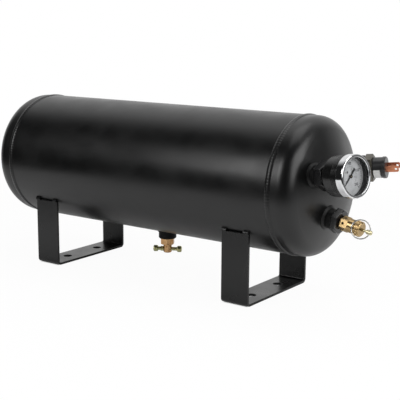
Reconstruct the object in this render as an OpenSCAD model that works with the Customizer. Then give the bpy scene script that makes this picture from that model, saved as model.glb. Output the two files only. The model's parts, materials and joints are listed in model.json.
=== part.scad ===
// Compressed air tank on two bent feet, with gauge, safety valve, pressure switch and drain cock.
// X runs along the tank, with the fittings at +X. The feet stand on z = 0, centred on the bolt pattern.

/* [Tank] */
// Outside diameter of the tank
tank_dia = 140; // [125:1:150]
// Length between the two seam welds
shell_len = 346; // [310:1:400]
// Wall of the shell and the heads
wall = 2; // [1.5:0.1:2.5]
// Height of the tank's axis above the floor
axis_height = 117.7; // [110:0.1:130]
// Straight flange of each head
head_flange = 9; // [7:0.5:12]
// Knuckle radius of each head
head_knuckle = 18; // [16:0.5:20]
// Crown radius of each head
head_crown = 155; // [150:1:175]
// Root gap of the seam welds
seam_gap = 1; // [0.6:0.1:1.5]
// Width of the seam weld cap
seam_width = 6; // [5:0.5:8]
// Height of the seam weld cap
seam_height = 1; // [0.6:0.1:1.4]

/* [Feet] */
// Distance from a seam weld to the middle of the foot next to it
foot_inset = 43.6; // [38:0.2:52]
// Width of the flat bar that the feet are bent from
strap_width = 31.8; // [28:0.2:36]
// Thickness of the flat bar
strap_thickness = 2.5; // [2:0.1:3.2]
// Distance over the outsides of the legs
foot_span = 114; // [108:1:118]
// Inside radius of the bends
bend_inside = 2; // [1.5:0.1:3]
// Diameter of the bolt holes
bolt_hole_dia = 10; // [8:0.5:11]
// Distance between the bolt holes of one foot
bolt_pitch = 50.8; // [46:0.2:56]
// Length of each weld at the top corners of a leg
foot_weld_len = 6; // [4:0.5:8]
// Radius of those welds
foot_weld_radius = 2.8; // [2.4:0.1:3.2]

/* [Ports] */
// Diameter of the welded bungs
bung_dia = 19.6; // [18.5:0.1:22]
// How far a bung stands out of the tank
bung_height = 8.8; // [7:0.1:10]
// How far a bung reaches in
bung_depth = 5; // [4:0.5:7]
// Effective diameter of the quarter-inch pipe thread
port_thread = 12.5; // [12:0.1:13]
// Effective diameter of the eighth-inch pipe thread
branch_thread = 9.5; // [9:0.1:10]
// Leg of the fillet weld round a bung
bung_weld_leg = 2; // [1.5:0.1:3]
// Angle of the gauge port round the head, from +Y towards +Z
gauge_port_angle = 153.6; // [145:0.1:165]
// Distance of the gauge port from the tank's axis
gauge_port_offset = 40; // [36:0.1:42]
// Angle of the safety valve port
valve_port_angle = 244.1; // [235:0.1:280]
// Distance of the safety valve port from the axis
valve_port_offset = 28.9; // [26:0.1:36]
// Angle of the pressure switch port
switch_port_angle = 23.4; // [15:0.1:30]
// Distance of the pressure switch port from the axis
switch_port_offset = 39; // [36:0.1:42]
// Distance of the inlet and outlet ports from the axis, on the left head
rear_port_offset = 33; // [28:0.5:38]
// Place of the drain port along the tank
drain_x = 0.8; // [-20:0.1:20]

/* [Gauge] */
// Outside diameter of the bezel
bezel_dia = 40.4; // [39:0.1:42]
// Length of the bezel's side
bezel_length = 7.8; // [6:0.2:9]
// Diameter of the opening in front of the glass
window_dia = 34.8; // [33:0.2:36]
// Outside diameter of the case
case_dia = 38; // [37.4:0.1:38.6]
// Wall of the case
case_wall = 0.8; // [0.6:0.1:1]
// Depth over the case and bezel
gauge_depth = 26.2; // [25.6:0.1:28]
// Square neck between the hexagon and the case
gauge_neck = 5.5; // [4:0.5:8]
// Size across the flats of the gauge bushing
gauge_hex = 25.4; // [24:0.1:26.4]
// Thickness of the gauge bushing's hexagon
gauge_hex_len = 9.7; // [8:0.1:12]
// Length of the pointer from its pivot to its tip
pointer_length = 12.2; // [10:0.1:14]
// Length of the pointer's tail
pointer_tail = 8.9; // [6:0.1:10]
// Direction of the pointer at zero, from the dial's right-hand side
zero_angle = 225; // [215:1:235]

/* [Safety valve] */
// Size across the flats of the reducing bushings
bushing_hex = 22; // [20:0.5:24]
// Thickness of the reducing bushings' hexagon
bushing_hex_len = 6.7; // [6:0.1:9]
// Size across the flats of the brass body
valve_hex = 13; // [12:0.1:14]
// Length of the brass body's hexagon
valve_hex_len = 8.3; // [8:0.1:10]
// Length of the round part of the brass body
valve_barrel_len = 7; // [6:0.5:9]
// Diameter of the grooved cap
valve_cap_dia = 15; // [14:0.1:16]
// Length of the grooved cap
valve_cap_len = 6; // [5:0.2:8]
// Diameter of the discharge holes
discharge_hole = 2.6; // [2:0.1:3]
// Turn of the safety valve about its own axis
valve_roll = 15; // [0:1:30]
// How far the valve stem lifts
valve_lift = 2; // [1:0.1:2.5]
// Outside diameter of the pull ring
ring_dia = 19.2; // [18:0.1:20]
// Wire of the pull ring
ring_wire = 1.3; // [1:0.1:1.5]

/* [Pressure switch] */
// Size across the flats of the metal base
switch_hex = 24; // [22:0.5:25]
// Thickness of the metal base's hexagon
switch_hex_len = 7.8; // [6:0.1:9]
// Diameter of the plastic body
switch_body_dia = 20.6; // [19:0.1:22]
// Length of the plastic body
switch_body_len = 12.5; // [11:0.5:14]
// Turn of the switch about its own axis
switch_roll = 18; // [0:1:40]
// Width of the blade terminals
blade_width = 6.3; // [5:0.1:6.5]
// Thickness of the blade terminals
blade_thickness = 0.8; // [0.6:0.1:1]
// Length of the longer blade outside the body
blade_length = 12.5; // [11:0.5:14]
// Distance between the blades
blade_pitch = 8.4; // [7.5:0.1:9]
// Travel of the switch plunger
plunger_travel = 0.6; // [0.4:0.1:0.8]

/* [Drain cock] */
// Size across the flats of the drain cock's body
drain_hex = 14; // [13:0.1:16]
// Thickness of its hexagon
drain_hex_len = 7; // [5:0.5:8]
// Diameter of its round neck and of the stem's head
drain_neck_dia = 9.2; // [8.5:0.1:10]
// Length of the round neck
drain_neck_len = 1.6; // [1:0.1:5]
// Length of the stem's head
drain_head_len = 7.6; // [7.4:0.1:9]
// Length over the ends of the T-handle
drain_bar_len = 31.6; // [28:0.2:34]
// Diameter of the T-handle's bar
drain_bar_dia = 4; // [3.6:0.1:4.4]
// Direction of the T-handle when shut, from +X towards +Y
drain_bar_angle = 28; // [0:1:60]
// Diameter of the T-handle's round ends
drain_knob_dia = 7; // [5.6:0.1:7.5]

/* [Hidden] */
$fn = 96;
fine = 360;

// Clearances
running_gap = 0.05;
touch_gap = 0.2;
cut = 1;

// Colours
paint = [0.09, 0.09, 0.09];
black_plastic = [0.06, 0.06, 0.06];
chrome = [0.78, 0.78, 0.8];
brass = [0.78, 0.6, 0.3];
copper = [0.72, 0.35, 0.22];
zinc = [0.42, 0.4, 0.35];
yellow_zinc = [0.66, 0.62, 0.36];
steel = [0.6, 0.6, 0.6];
rubber = [0.08, 0.08, 0.08];

// Tank
tank_r = tank_dia / 2;
seam_x = shell_len / 2;
knuckle_r_at = tank_r - head_knuckle;
crown_drop = sqrt(pow(head_crown - head_knuckle, 2) - pow(knuckle_r_at, 2));
crown_centre = head_flange - crown_drop;
bung_r = bung_dia / 2;

// Feet
foot_x = seam_x - foot_inset;
leg_out = foot_span / 2;
leg_in = leg_out - strap_thickness;
leg_top = axis_height - sqrt(pow(tank_r, 2) - pow(leg_in, 2));
bend_outside = bend_inside + strap_thickness;

// Gauge stations, measured outward from the head along the port's axis
gauge_hex_front = bung_height + gauge_hex_len;
case_back = gauge_hex_front + gauge_neck;
gauge_front = case_back + gauge_depth;
lip_thickness = 1.3;
glass_thickness = 1.5;
gasket_thickness = 0.8;
glass_back = gauge_front - lip_thickness - glass_thickness;
case_front = glass_back - gasket_thickness;
case_r = case_dia / 2;
case_in_r = case_r - case_wall;
dial_thickness = 0.6;
dial_depth = 8.2;
dial_top = gauge_front - dial_depth;
dial_back = dial_top - dial_thickness;
plate_thickness = 0.8;
socket_arm = 5.2;
socket_top = case_back + case_wall + socket_arm;
lower_plate_top = socket_top + plate_thickness;
dial_post = 4.4;
upper_plate = dial_back - dial_post;
upper_plate_top = upper_plate + plate_thickness;
pivot_dia = 1;
screw_head = 0.5;
hub_height = 1.2;
pointer_thickness = 0.35;
pointer_back = dial_top + screw_head + touch_gap;
pointer_front = pointer_back + hub_height;
post_dia = 2.4;
post_x = 3.6;
post_y = 4;
screw_shank = 1.2;
neck_square = 12;

// Gauge gears: a sector of a large wheel drives the pinion on the pointer's arbor
gear_module = 0.24;
pinion_teeth = 10;
sector_full_teeth = 65;
pinion_pitch_r = gear_module * pinion_teeth / 2;
sector_pitch_r = gear_module * sector_full_teeth / 2;
gear_centres = pinion_pitch_r + sector_pitch_r;
pointer_sweep = 270;
sector_sweep = pointer_sweep * pinion_teeth / sector_full_teeth;
tooth_tip = 0.2;
tooth_root = 0.26;
sector_margin = 2;
sector_thickness = 1;
sector_rise = 2.7;
sector_back = lower_plate_top + sector_rise;
pinion_lead = 0.9;
pinion_back = sector_back - pinion_lead;
pinion_length = 2.8;
tail_length = 3;
tail_angle = 249;

// Bourdon tube
tube_room = 3.4;
tube_radius = case_in_r - tube_room;
tube_radial = 1.8;
tube_axial = 3.8;
tube_wall = 0.35;
tube_root_angle = 230;
tube_tip_angle = -asin((gear_centres - tail_length * sin(tail_angle)) / tube_radius);
tube_rise = 0.9;
tube_back = lower_plate_top + tube_rise;
tube_front = tube_back + tube_axial;
link_thickness = 0.4;
link_back = tube_front + touch_gap;
link_front = link_back + link_thickness;
link_pin = 0.6;
link_stroke = 2 * tail_length * sin(sector_sweep / 2);
link_rise = tail_length * (1 - cos(sector_sweep / 2));

// Safety valve stations
bushing_front = bung_height + bushing_hex_len;
valve_neck = 1.2;
valve_hex_back = bushing_front + valve_neck;
valve_hex_front = valve_hex_back + valve_hex_len;
valve_barrel_front = valve_hex_front + valve_barrel_len;
valve_cap_back = valve_barrel_front + touch_gap;
valve_cap_front = valve_cap_back + valve_cap_len;
valve_barrel_dia = 13.6;
valve_chamber = 9.6;
valve_inlet = 4;
valve_floor = 1;
valve_seat_at = valve_hex_back + valve_floor;
seat_thickness = 0.8;
poppet_len = 1.6;
poppet_front = valve_seat_at + seat_thickness + poppet_len;
poppet_dia = 8.4;
stem_dia = 2.6;
tip_dia = 4.6;
tip_len = 5;
stem_show = 5.8;
tip_start = valve_cap_front + stem_show;
ring_hole = 2.3;
ring_hole_inset = 2;
ring_hole_at = tip_start + tip_len - ring_hole_inset;
ring_centre_r = (ring_dia - ring_wire) / 2;
ring_side = 160;
ring_lean = asin((valve_cap_dia / 2 + ring_wire / 2 + 2 * touch_gap) / (2 * ring_centre_r));
discharge_rise = 3.5;
discharge_at = valve_hex_back + discharge_rise;
cap_thread_len = 4;
cap_grooves = 20;
cap_edge = 0.9;
groove_dia = 1.3;
spring_wire = 0.9;
spring_r = 3;
spring_back = poppet_front;
spring_front = valve_barrel_front - cap_thread_len;
spring_turns = floor((spring_front - spring_back - valve_lift) / (1.5 * spring_wire));

// Pressure switch stations
switch_base_front = bushing_front + switch_hex_len;
switch_body_front = switch_base_front + switch_body_len;
switch_recess = 17;
switch_recess_depth = 2.4;
diaphragm_thickness = 0.4;
switch_cavity = 15.4;
switch_cavity_len = 7.4;
switch_cavity_front = switch_base_front + switch_cavity_len;
plunger_dia = 5;
plunger_flange = 10;
plunger_flange_len = 1;
plunger_len = 4.2;
contact_thickness = 0.5;
contact_front = switch_base_front + plunger_len + contact_thickness;
contact_width = 4;
blade_hole = 2.4;
switch_spring_r = 1.6;
switch_spring_wire = 0.35;

// Drain cock stations, measured downward from the tank
drain_hex_front = bung_height + drain_hex_len;
drain_neck_front = drain_hex_front + drain_neck_len;
drain_head_back = drain_neck_front + touch_gap;
drain_bar_rise = 3.7;
drain_bar_at = drain_head_back + drain_bar_rise;
drain_thread = 6;
drain_floor = 0.5;
drain_seat_at = bung_height + drain_floor;
drain_passage = 3.6;
drain_seal_dia = 5;
drain_seal_len = 1.6;
drain_throat_dia = 4.4;
drain_throat_len = 2;
drain_outlet = 1.2;

// Places on the tank

module on_tank_axis() {
    translate([0, 0, axis_height]) rotate([0, 90, 0]) children();
}

// Puts its children on the right head: z outward from the crown, y up, x to the right of someone facing it
module on_head(angle, offset) {
    tilt = asin(offset / head_crown);
    translate([seam_x + crown_centre, 0, axis_height])
        rotate([angle, 0, 0]) rotate([0, 0, tilt]) rotate([-angle, 0, 0])
            translate([head_crown, 0, 0]) rotate(a = 120, v = [1, 1, 1]) children();
}

module on_left_head(angle, offset) {
    mirror([1, 0, 0]) on_head(angle, offset) children();
}

module on_drain() {
    translate([drain_x, 0, axis_height - tank_r]) rotate([180, 0, 0]) children();
}

module at_gauge() { on_head(gauge_port_angle, gauge_port_offset) children(); }

module at_valve() { on_head(valve_port_angle, valve_port_offset) children(); }

module at_switch() { on_head(switch_port_angle, switch_port_offset) children(); }

module at_inlet() { on_left_head(0, rear_port_offset) children(); }

module at_outlet() { on_left_head(180, rear_port_offset) children(); }

// Common shapes

module rod(from, to, dia) {
    translate([0, 0, from]) cylinder(h = to - from, d = dia);
}

// Hexagon bar with its front corners chamfered, corners on the x axis
module hex_bar(from, to, flats) {
    corner_r = flats / cos(30) / 2;
    outer_r = corner_r + cut;
    chamfer = (outer_r - flats / 2) * tan(30);
    intersection() {
        translate([0, 0, from]) cylinder(h = to - from, r = corner_r, $fn = 6);
        rotate_extrude() polygon([
            [0, from], [outer_r, from], [outer_r, to - chamfer], [flats / 2, to], [0, to]
        ]);
    }
}

// Coil spring of half turns, each tilted to climb half a pitch
module coil(radius, wire, turns, length) {
    pitch = (length - wire) / turns;
    lean = asin(pitch / (4 * radius));
    for (half = [0 : 2 * turns - 1])
        translate([0, 0, wire / 2 + (half + 0.5) * pitch / 2])
            rotate([0, half % 2 == 0 ? lean : -lean, 0]) rotate([0, 0, half % 2 * 180]) {
                rotate_extrude(angle = 180, $fn = 48) translate([radius, 0]) circle(d = wire, $fn = 24);
                translate([-radius, 0, 0]) sphere(d = wire * 1.06, $fn = 24);
            }
}

// Tank pieces

module head_section(inset) {
    flat = tank_r - inset;
    knuckle = head_knuckle - inset;
    crown = head_crown - inset;
    reach = head_crown * 2;
    lean = asin(knuckle_r_at / (head_crown - head_knuckle));
    union() {
        square([flat, head_flange]);
        intersection() {
            translate([knuckle_r_at, head_flange]) circle(knuckle);
            square([flat + cut, reach]);
        }
        intersection() {
            translate([0, crown_centre]) circle(crown);
            polygon([
                [0, crown_centre], [reach * sin(lean), crown_centre + reach * cos(lean)],
                [0, crown_centre + reach]
            ]);
            square([flat + cut, reach]);
        }
    }
}

module head_blank() {
    on_tank_axis() translate([0, 0, seam_x]) rotate_extrude() difference() {
        intersection() {
            head_section(0);
            translate([0, seam_gap / 2]) square([tank_r + cut, head_crown]);
        }
        head_section(wall);
    }
}

module port_hole() {
    rod(-bung_depth - cut, bung_height, bung_dia);
}

module head_left() {
    color(paint) difference() {
        mirror([1, 0, 0]) head_blank();
        at_inlet() port_hole();
        at_outlet() port_hole();
    }
}

module head_right() {
    color(paint) difference() {
        head_blank();
        at_gauge() port_hole();
        at_valve() port_hole();
        at_switch() port_hole();
    }
}

module tank_shell() {
    shell_end = seam_x - seam_gap / 2;
    color(paint) difference() {
        on_tank_axis() rod(-shell_end, shell_end, tank_dia);
        on_tank_axis() rod(-seam_x, seam_x, tank_dia - 2 * wall);
        on_drain() port_hole();
    }
}

// Seam weld: a low cap on the outside and a root that fills the gap
module seam_weld() {
    cap_r = (pow(seam_width / 2, 2) + pow(seam_height, 2)) / (2 * seam_height);
    color(paint) on_tank_axis() translate([0, 0, seam_x]) rotate_extrude() union() {
        intersection() {
            translate([tank_r + seam_height - cap_r, 0]) circle(cap_r);
            translate([tank_r, -seam_width]) square([seam_width, 2 * seam_width]);
        }
        translate([tank_r - wall, -seam_gap / 2]) square([wall, seam_gap]);
    }
}

module seam_weld_left() { mirror([1, 0, 0]) seam_weld(); }

module seam_weld_right() { seam_weld(); }

// Feet

module u_section(half, radius, base) {
    union() {
        translate([-half, base + radius]) square([2 * half, leg_top]);
        translate([-half + radius, base]) square([2 * (half - radius), radius + cut]);
        for (side = [-1, 1]) translate([side * (half - radius), base + radius]) circle(radius);
    }
}

module foot(side) {
    color(paint) translate([side * foot_x, 0, 0]) difference() {
        rotate([90, 0, 90]) translate([0, 0, -strap_width / 2]) linear_extrude(strap_width) difference() {
            u_section(leg_out, bend_outside, 0);
            u_section(leg_in, bend_inside, strap_thickness);
            translate([-foot_span, leg_top]) square([2 * foot_span, foot_span]);
        }
        for (y = [-1, 1]) translate([0, y * bolt_pitch / 2, 0])
            rod(-cut, strap_thickness + cut, bolt_hole_dia);
    }
}

module foot_left() { foot(-1); }

module foot_right() { foot(1); }

// Weld beads in the wedge between a leg's top edge and the tank, at both corners
module foot_welds(side) {
    color(paint) difference() {
        for (leg = [-1, 1], corner = [-1, 1])
            translate([side * foot_x + corner * (strap_width - foot_weld_len) / 2, 0, 0]) intersection() {
                translate([0, leg * (leg_out - 1.2), leg_top + 0.8]) rotate([0, 90, 0])
                    rod(-foot_weld_len / 2, foot_weld_len / 2, 2 * foot_weld_radius);
                translate([-foot_weld_len, leg > 0 ? 0 : -foot_span, leg_top])
                    cube([2 * foot_weld_len, foot_span, foot_span]);
            }
        on_tank_axis() translate([0, 0, -seam_x]) cylinder(h = 2 * seam_x, d = tank_dia, $fn = fine);
    }
}

module foot_welds_left() { foot_welds(-1); }

module foot_welds_right() { foot_welds(1); }

// Bungs

module bung() {
    rim = 0.8;
    difference() {
        union() {
            rod(-bung_depth, bung_height - rim, bung_dia);
            translate([0, 0, bung_height - rim]) cylinder(h = rim, d1 = bung_dia, d2 = bung_dia - 2 * rim);
        }
        rod(-bung_depth - cut, bung_height + cut, port_thread);
    }
}

// Section of the fillet weld round a bung
module weld_section() {
    polygon([
        [bung_r, -bung_weld_leg], [bung_r, bung_weld_leg], [bung_r + touch_gap, bung_weld_leg],
        [bung_r + 2 * bung_weld_leg, -bung_weld_leg]
    ]);
}

module head_bung_weld() {
    rotate_extrude() difference() {
        weld_section();
        translate([0, -head_crown]) circle(head_crown, $fn = 4 * fine);
    }
}

module gauge_bung() { color(paint) at_gauge() bung(); }

module valve_bung() { color(paint) at_valve() bung(); }

module switch_bung() { color(paint) at_switch() bung(); }

module drain_bung() { color(paint) on_drain() bung(); }

module inlet_bung() { color(paint) at_inlet() bung(); }

module outlet_bung() { color(paint) at_outlet() bung(); }

module bung_welds_right() {
    color(paint) {
        at_gauge() head_bung_weld();
        at_valve() head_bung_weld();
        at_switch() head_bung_weld();
    }
}

module bung_welds_left() {
    color(paint) {
        at_inlet() head_bung_weld();
        at_outlet() head_bung_weld();
    }
}

module drain_bung_weld() {
    color(paint) on_drain() difference() {
        rotate_extrude() weld_section();
        translate([-tank_r, 0, -tank_r]) rotate([0, 90, 0]) cylinder(h = tank_dia, d = tank_dia, $fn = fine);
    }
}

// Gauge

// Reducing bushing: pipe thread into the bung, hexagon outside, branch thread in its mouth
module reducing_bushing(flats, hex_len) {
    front = bung_height + hex_len;
    branch_depth = min(hex_len + 2, front - 2);
    difference() {
        union() {
            rod(-2, front - 2, port_thread);
            rotate([0, 0, 30]) hex_bar(bung_height, front, flats);
        }
        rod(front - branch_depth, front + cut, branch_thread);
        rod(-3, front, 5);
    }
}

module gauge_bushing() {
    color(black_plastic) at_gauge() reducing_bushing(gauge_hex, gauge_hex_len);
}

// Where the Bourdon tube is soldered into the socket's arm
module tube_root() {
    rotate([0, 0, tube_root_angle]) translate([tube_radius, 0, 0]) children();
}

module gauge_socket() {
    arm_width = 6;
    arm_reach = tube_radius + tube_radial;
    arm_back = case_back + case_wall;
    passage = 2.4;
    side_passage = 1;
    passage_end = arm_back + 2;
    color(brass) at_gauge() difference() {
        union() {
            rod(gauge_hex_front - gauge_hex_len, socket_top, branch_thread);
            translate([-neck_square / 2, -neck_square / 2, gauge_hex_front])
                cube([neck_square, neck_square, gauge_neck]);
            rod(arm_back, socket_top, neck_square);
            rotate([0, 0, tube_root_angle]) translate([0, -arm_width / 2, arm_back])
                cube([arm_reach, arm_width, socket_top - arm_back]);
            tube_root() translate([-tube_radial, -arm_width / 2, socket_top - cut])
                cube([2 * tube_radial, arm_width, tube_front + tube_wall - socket_top + cut]);
        }
        rod(0, passage_end, passage);
        tube_root() translate([0, 0, passage_end]) {
            rotate([0, -90, 0]) rod(0, tube_radius, side_passage);
            rod(-side_passage / 2, tube_back + tube_axial / 2 - passage_end, side_passage);
        }
        rotate_extrude_from(tube_root_angle - 20, 20) tube_section(0);
    }
}

module tube_section(inset) {
    translate([tube_radius - tube_radial / 2 + inset, tube_back + inset])
        square([tube_radial - 2 * inset, tube_axial - 2 * inset]);
}

module rotate_extrude_from(start, sweep) {
    rotate([0, 0, start]) rotate_extrude(angle = sweep) children();
}

module bourdon_tube() {
    end_wall = 4;
    sweep = tube_root_angle - tube_tip_angle;
    color(brass) at_gauge() difference() {
        union() {
            rotate_extrude_from(tube_tip_angle - end_wall, sweep + end_wall) tube_section(0);
            rotate([0, 0, tube_tip_angle]) translate([tube_radius, 0, 0])
                rod(tube_back + tube_wall, link_front + touch_gap, link_pin);
        }
        rotate_extrude_from(tube_tip_angle + end_wall, sweep) tube_section(tube_wall);
    }
}

module gauge_case() {
    corner = 2.5;
    groove = 0.3;
    groove_pitch = 1.6;
    color(black_plastic) at_gauge() difference() {
        rotate_extrude() difference() {
            union() {
                translate([0, case_back + corner]) square([case_r, case_front - case_back - corner]);
                translate([0, case_back]) square([case_r - corner, corner + cut]);
                translate([case_r - corner, case_back + corner]) circle(corner);
            }
            union() {
                translate([0, case_back + corner]) square([case_in_r, gauge_depth]);
                translate([0, case_back + case_wall]) square([case_r - corner, corner]);
                translate([case_r - corner, case_back + corner]) circle(corner - case_wall);
            }
            for (i = [1 : 4]) translate([case_r, gauge_front - bezel_length - i * groove_pitch])
                circle(groove, $fn = 24);
        }
        rod(case_back - cut, case_back + case_wall + cut, branch_thread);
    }
}

module gauge_bezel() {
    bezel_r = bezel_dia / 2;
    edge = 1.1;
    color(chrome) at_gauge() rotate_extrude() difference() {
        union() {
            translate([window_dia / 2, gauge_front - bezel_length])
                square([bezel_r - window_dia / 2, bezel_length - edge]);
            translate([window_dia / 2 + edge / 2, gauge_front - 2 * edge])
                square([bezel_r - window_dia / 2 - 1.5 * edge, 2 * edge]);
            translate([bezel_r - edge, gauge_front - edge]) circle(edge);
            translate([window_dia / 2 + edge / 2, gauge_front - edge / 2]) circle(edge / 2);
            translate([window_dia / 2, gauge_front - lip_thickness]) square([edge, lip_thickness - edge / 2]);
        }
        translate([0, 0]) square([case_r, gauge_front - lip_thickness]);
    }
}

module gauge_glass() {
    color([0.85, 0.9, 0.92, 0.3]) at_gauge() rod(glass_back, glass_back + glass_thickness, case_dia);
}

module gauge_gasket() {
    color(rubber) at_gauge() difference() {
        rod(case_front, glass_back, case_dia);
        rod(case_front - cut, glass_back + cut, window_dia);
    }
}

module gauge_dial() {
    color([0.86, 0.87, 0.88]) at_gauge() difference() {
        rod(dial_back, dial_top, 2 * case_in_r);
        rod(dial_back - cut, dial_top + cut, 2 * pivot_dia);
        for (side = [-1, 1]) translate([side * post_x, post_y, 0])
            rod(dial_back - cut, dial_top + cut, screw_shank);
    }
}

module dial_screws() {
    color(steel) at_gauge() for (side = [-1, 1]) translate([side * post_x, post_y, 0]) {
        rod(dial_back - 2, dial_top, screw_shank);
        rod(dial_top, dial_top + screw_head, 2 * screw_shank);
    }
}

// Two brass plates held apart by posts that carry on up to the dial
module gauge_movement_frame() {
    plate_width = 10;
    plate_up = 6;
    plate_down = gear_centres + 2.5;
    color(brass) at_gauge() difference() {
        union() {
            for (z = [socket_top, upper_plate])
                translate([-plate_width / 2, -plate_down, z])
                    cube([plate_width, plate_down + plate_up, plate_thickness]);
            for (side = [-1, 1]) translate([side * post_x, post_y, 0]) {
                rod(socket_top, upper_plate_top, post_dia);
                rod(upper_plate, dial_back, post_dia);
            }
        }
        rod(socket_top + plate_thickness / 2, upper_plate_top + cut, pivot_dia + 2 * running_gap);
        translate([0, -gear_centres, 0])
            rod(socket_top + plate_thickness / 2, upper_plate_top + cut, pivot_dia + 2 * running_gap);
        for (side = [-1, 1]) translate([side * post_x, post_y, 0])
            rod(dial_back - 2, dial_back + cut, screw_shank);
    }
}

// One gear tooth, pointing along +x from the pitch circle
module tooth(pitch_r) {
    root_half = 0.2;
    tip_half = 0.07;
    polygon([
        [pitch_r - tooth_root - 0.1, -root_half], [pitch_r - tooth_root - 0.1, root_half],
        [pitch_r + tooth_tip, tip_half], [pitch_r + tooth_tip, -tip_half]
    ]);
}

module gauge_pinion() {
    color(brass) at_gauge() {
        rod(socket_top + plate_thickness / 2 + touch_gap, pointer_front, pivot_dia);
        translate([0, 0, pinion_back]) linear_extrude(pinion_length) union() {
            circle(pinion_pitch_r - tooth_root);
            for (i = [0 : pinion_teeth - 1]) rotate([0, 0, 90 + (i + 0.5) * 360 / pinion_teeth])
                tooth(pinion_pitch_r);
        }
    }
}

// At rest the sector touches the pinion with its last teeth, and its body lies to the right
module gauge_sector() {
    step = 360 / sector_full_teeth;
    teeth_down = ceil((sector_sweep + 2 * step) / step);
    body_r = sector_pitch_r - tooth_root;
    low_angle = 90 - teeth_down * step - sector_margin;
    high_angle = 90 + step + sector_margin;
    boss = 2.4;
    color(brass) at_gauge() translate([0, -gear_centres, 0]) {
        rod(socket_top + plate_thickness / 2 + touch_gap, upper_plate_top, pivot_dia);
        rod(lower_plate_top + touch_gap, upper_plate - touch_gap, boss);
        translate([0, 0, sector_back]) linear_extrude(sector_thickness) difference() {
            union() {
                circle(d = boss + 2);
                intersection() {
                    circle(body_r);
                    polygon([[0, 0], for (a = [low_angle, (low_angle + high_angle) / 2, high_angle])
                        2 * sector_pitch_r * [cos(a), sin(a)]]);
                }
                for (i = [-1 : teeth_down]) rotate([0, 0, 90 - i * step]) tooth(sector_pitch_r);
                rotate([0, 0, tail_angle]) translate([0, -0.8]) square([tail_length, 1.6]);
                rotate([0, 0, tail_angle]) translate([tail_length, 0]) circle(d = 1.8);
            }
            rotate([0, 0, tail_angle]) translate([tail_length, 0]) circle(d = link_pin + 2 * running_gap);
        }
    }
}

// Link with a pin through the sector's tail; the pin on the tube's tip runs in its slot
module gauge_link() {
    slot_width = link_pin + 2 * (link_rise + running_gap);
    link_width = slot_width + 1;
    run = tube_radius * cos(tube_tip_angle) - tail_length * cos(tail_angle);
    pin_at = tail_length * [cos(tail_angle), sin(tail_angle)] - [0, gear_centres];
    color(brass) at_gauge() translate([pin_at.x, pin_at.y, 0]) {
        rod(sector_back - touch_gap, link_front, link_pin);
        translate([0, 0, link_back]) linear_extrude(link_thickness) difference() {
            union() {
                circle(d = 1.8);
                translate([0, -0.5]) square([run, 1]);
                translate([run - link_stroke, -link_width / 2]) square([link_stroke, link_width]);
                for (x = [run - link_stroke, run]) translate([x, 0]) circle(d = link_width);
            }
            translate([run - link_stroke, -slot_width / 2]) square([link_stroke, slot_width]);
            for (x = [run - link_stroke, run]) translate([x, 0]) circle(d = slot_width);
        }
    }
}

module gauge_pointer() {
    hub_dia = 3.2;
    color(black_plastic) at_gauge() difference() {
        union() {
            rod(pointer_back, pointer_front, hub_dia);
            rotate([0, 0, zero_angle]) translate([0, 0, pointer_back])
                linear_extrude(pointer_thickness) polygon([
                    [-pointer_tail, -1.1], [-pointer_tail, 1.1], [-2.5, 0.55], [0, 0.65],
                    [pointer_length, 0.2], [pointer_length, -0.2], [0, -0.65], [-2.5, -0.55]
                ]);
        }
        rod(dial_top, pointer_front + cut, pivot_dia);
    }
}

// Safety valve

module valve_bushing() {
    color(black_plastic) at_valve() reducing_bushing(bushing_hex, bushing_hex_len);
}

module valve_body() {
    color(brass) at_valve() rotate([0, 0, valve_roll]) difference() {
        union() {
            rod(bushing_front - bushing_hex_len, valve_hex_front, branch_thread);
            hex_bar(valve_hex_back, valve_hex_front, valve_hex);
            rod(valve_hex_front, valve_barrel_front, valve_barrel_dia);
        }
        rod(0, valve_seat_at + cut, valve_inlet);
        rod(valve_seat_at, valve_barrel_front + cut, valve_chamber);
        for (a = [30, 90, 150, 210, 270, 330]) rotate([0, 0, a]) translate([0, 0, discharge_at])
            rotate([0, 90, 0]) rod(valve_chamber / 4, valve_hex, discharge_hole);
    }
}

module valve_seat_disc() {
    color(rubber) at_valve() rod(valve_seat_at, valve_seat_at + seat_thickness, poppet_dia - 1);
}

module valve_stem() {
    color(steel) at_valve() difference() {
        union() {
            rod(valve_seat_at + seat_thickness, poppet_front, poppet_dia);
            rod(poppet_front, tip_start, stem_dia);
            rod(tip_start, tip_start + tip_len - 0.8, tip_dia);
            translate([0, 0, tip_start + tip_len - 0.8]) cylinder(h = 0.8, d1 = tip_dia, d2 = tip_dia - 1.6);
        }
        rotate([0, 0, ring_side - 90]) translate([0, 0, ring_hole_at]) rotate([0, 90, 0])
            rod(-tip_dia, tip_dia, ring_hole);
    }
}

module valve_spring() {
    color(steel) at_valve() translate([0, 0, spring_back])
        coil(spring_r, spring_wire, spring_turns, spring_front - spring_back);
}

// Adjusting cap: a threaded skirt inside the barrel and a grooved rim outside
module valve_cap() {
    color(brass) at_valve() difference() {
        union() {
            rod(spring_front, valve_barrel_front, valve_chamber);
            rod(valve_barrel_front, valve_cap_back, valve_chamber);
            rod(valve_cap_back, valve_cap_front - cap_edge, valve_cap_dia);
            translate([0, 0, valve_cap_front - cap_edge])
                cylinder(h = cap_edge, d1 = valve_cap_dia, d2 = valve_cap_dia - 2 * cap_edge);
        }
        rod(spring_front - cut, valve_cap_front + cut, stem_dia + 2 * running_gap);
        for (i = [0 : cap_grooves - 1]) rotate([0, 0, i * 360 / cap_grooves])
            translate([valve_cap_dia / 2, 0, 0]) rod(valve_cap_back - cut, valve_cap_front + cut, groove_dia);
    }
}

// Pull ring through the stem's hole, leaning back on the side of the barrel
module valve_ring() {
    color(steel) at_valve() rotate([0, 0, ring_side]) translate([0, 0, ring_hole_at])
        rotate([0, 180 - ring_lean, 0]) translate([0, 0, ring_centre_r]) rotate([0, 90, 0])
            rotate_extrude() translate([ring_centre_r, 0]) circle(d = ring_wire, $fn = 32);
}

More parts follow.
